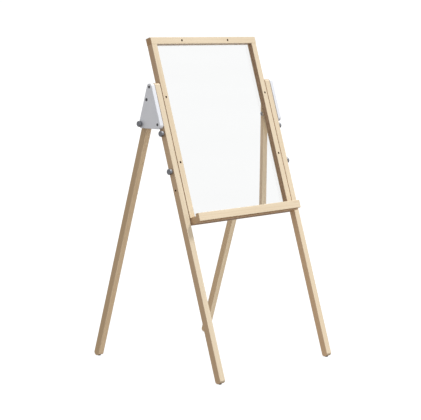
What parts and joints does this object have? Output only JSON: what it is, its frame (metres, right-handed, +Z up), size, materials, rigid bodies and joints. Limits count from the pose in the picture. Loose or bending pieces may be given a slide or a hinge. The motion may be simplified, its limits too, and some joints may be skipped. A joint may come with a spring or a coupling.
{
  "type": "kids easel",
  "caption": "Folding timber kids' easel: clear drawing board with a pen tray, height set by knobs, on front legs with rear legs that fold under white brackets.",
  "frame": {"origin": "on the floor, midway between the four feet, under the point where the leg centre lines cross", "axes": "+X across, to the right of someone facing the board; +Y towards the rear legs; +Z up"},
  "size_m": [0.6586, 0.6446, 1.1703],
  "materials": {
    "timber": "pale solid timber under a satin clear coat, sanded edges",
    "bracket_white": "white lacquered board, satin",
    "knob_grey": "satin grey metal",
    "steel": "zinc plated steel",
    "screw_dark": "dark grey plated screws",
    "glide_dark": "dark moulded plastic",
    "clear_sheet": "clear polished acrylic sheet"
  },
  "bodies": {
    "stand": {"front_leg_left": "timber", "front_leg_right": "timber", "bracket_left": "bracket_white", "bracket_right": "bracket_white", "bracket_screws": "screw_dark", "pivot_bolts": "screw_dark", "pivot_washers": "steel", "pivot_nuts": "steel", "lock_nuts": "steel", "slot_nuts": "steel", "spacer_washers": "glide_dark", "front_glides": "glide_dark"},
    "board": {"top_rail": "timber", "stile_left": "timber", "stile_right": "timber", "clear_panel": "clear_sheet", "bead_top": "timber", "bead_bottom": "timber", "bead_left": "timber", "bead_right": "timber", "bead_pins": "steel", "frame_screws": "screw_dark", "tray_base": "timber", "tray_lip": "timber", "tray_screws": "screw_dark", "lip_dowels": "timber"},
    "rear_leg_left_body": {"rear_leg_left": "timber", "rear_glide_left": "glide_dark"},
    "rear_leg_right_body": {"rear_leg_right": "timber", "rear_glide_right": "glide_dark"},
    "board_knob_upper_left_body": {"board_knob_upper_left": "knob_grey", "board_stud_upper_left": "steel"},
    "board_knob_upper_right_body": {"board_knob_upper_right": "knob_grey", "board_stud_upper_right": "steel"},
    "board_knob_lower_left_body": {"board_knob_lower_left": "knob_grey", "board_stud_lower_left": "steel"},
    "board_knob_lower_right_body": {"board_knob_lower_right": "knob_grey", "board_stud_lower_right": "steel"},
    "lock_knob_left_body": {"lock_knob_left": "knob_grey", "lock_stud_left": "steel"},
    "lock_knob_right_body": {"lock_knob_right": "knob_grey", "lock_stud_right": "steel"}
  },
  "joints": [
    {"name": "board_height", "type": "slide", "parent": "stand", "child": "board", "axis": [0, 0.2999, 0.954], "range_m": [-0.065, 0]},
    {"name": "rear_leg_left_fold", "type": "hinge", "parent": "stand", "child": "rear_leg_left_body", "pos_m": [-0.2839, 0.01379, 0.95612], "axis": [-1, 0, 0], "range_deg": [0, 34.9]},
    {"name": "rear_leg_right_fold", "type": "hinge", "parent": "stand", "child": "rear_leg_right_body", "pos_m": [0.2839, 0.01379, 0.95612], "axis": [-1, 0, 0], "range_deg": [0, 34.9]},
    {"name": "board_knob_upper_left_turn", "type": "hinge", "parent": "stand", "child": "board_knob_upper_left_body", "pos_m": [-0.3, -0.05008, 0.84069], "axis": [-1, 0, 0], "continuous": true},
    {"name": "board_knob_upper_right_turn", "type": "hinge", "parent": "stand", "child": "board_knob_upper_right_body", "pos_m": [0.3, -0.05008, 0.84069], "axis": [1, 0, 0], "continuous": true},
    {"name": "board_knob_lower_left_turn", "type": "hinge", "parent": "stand", "child": "board_knob_lower_left_body", "pos_m": [-0.3, -0.09056, 0.7119], "axis": [-1, 0, 0], "continuous": true},
    {"name": "board_knob_lower_right_turn", "type": "hinge", "parent": "stand", "child": "board_knob_lower_right_body", "pos_m": [0.3, -0.09056, 0.7119], "axis": [1, 0, 0], "continuous": true},
    {"name": "lock_knob_left_turn", "type": "hinge", "parent": "stand", "child": "lock_knob_left_body", "pos_m": [-0.318, 0.04033, 0.87169], "axis": [-1, 0, 0], "continuous": true},
    {"name": "lock_knob_right_turn", "type": "hinge", "parent": "stand", "child": "lock_knob_right_body", "pos_m": [0.318, 0.04033, 0.87169], "axis": [1, 0, 0], "continuous": true}
  ]
}
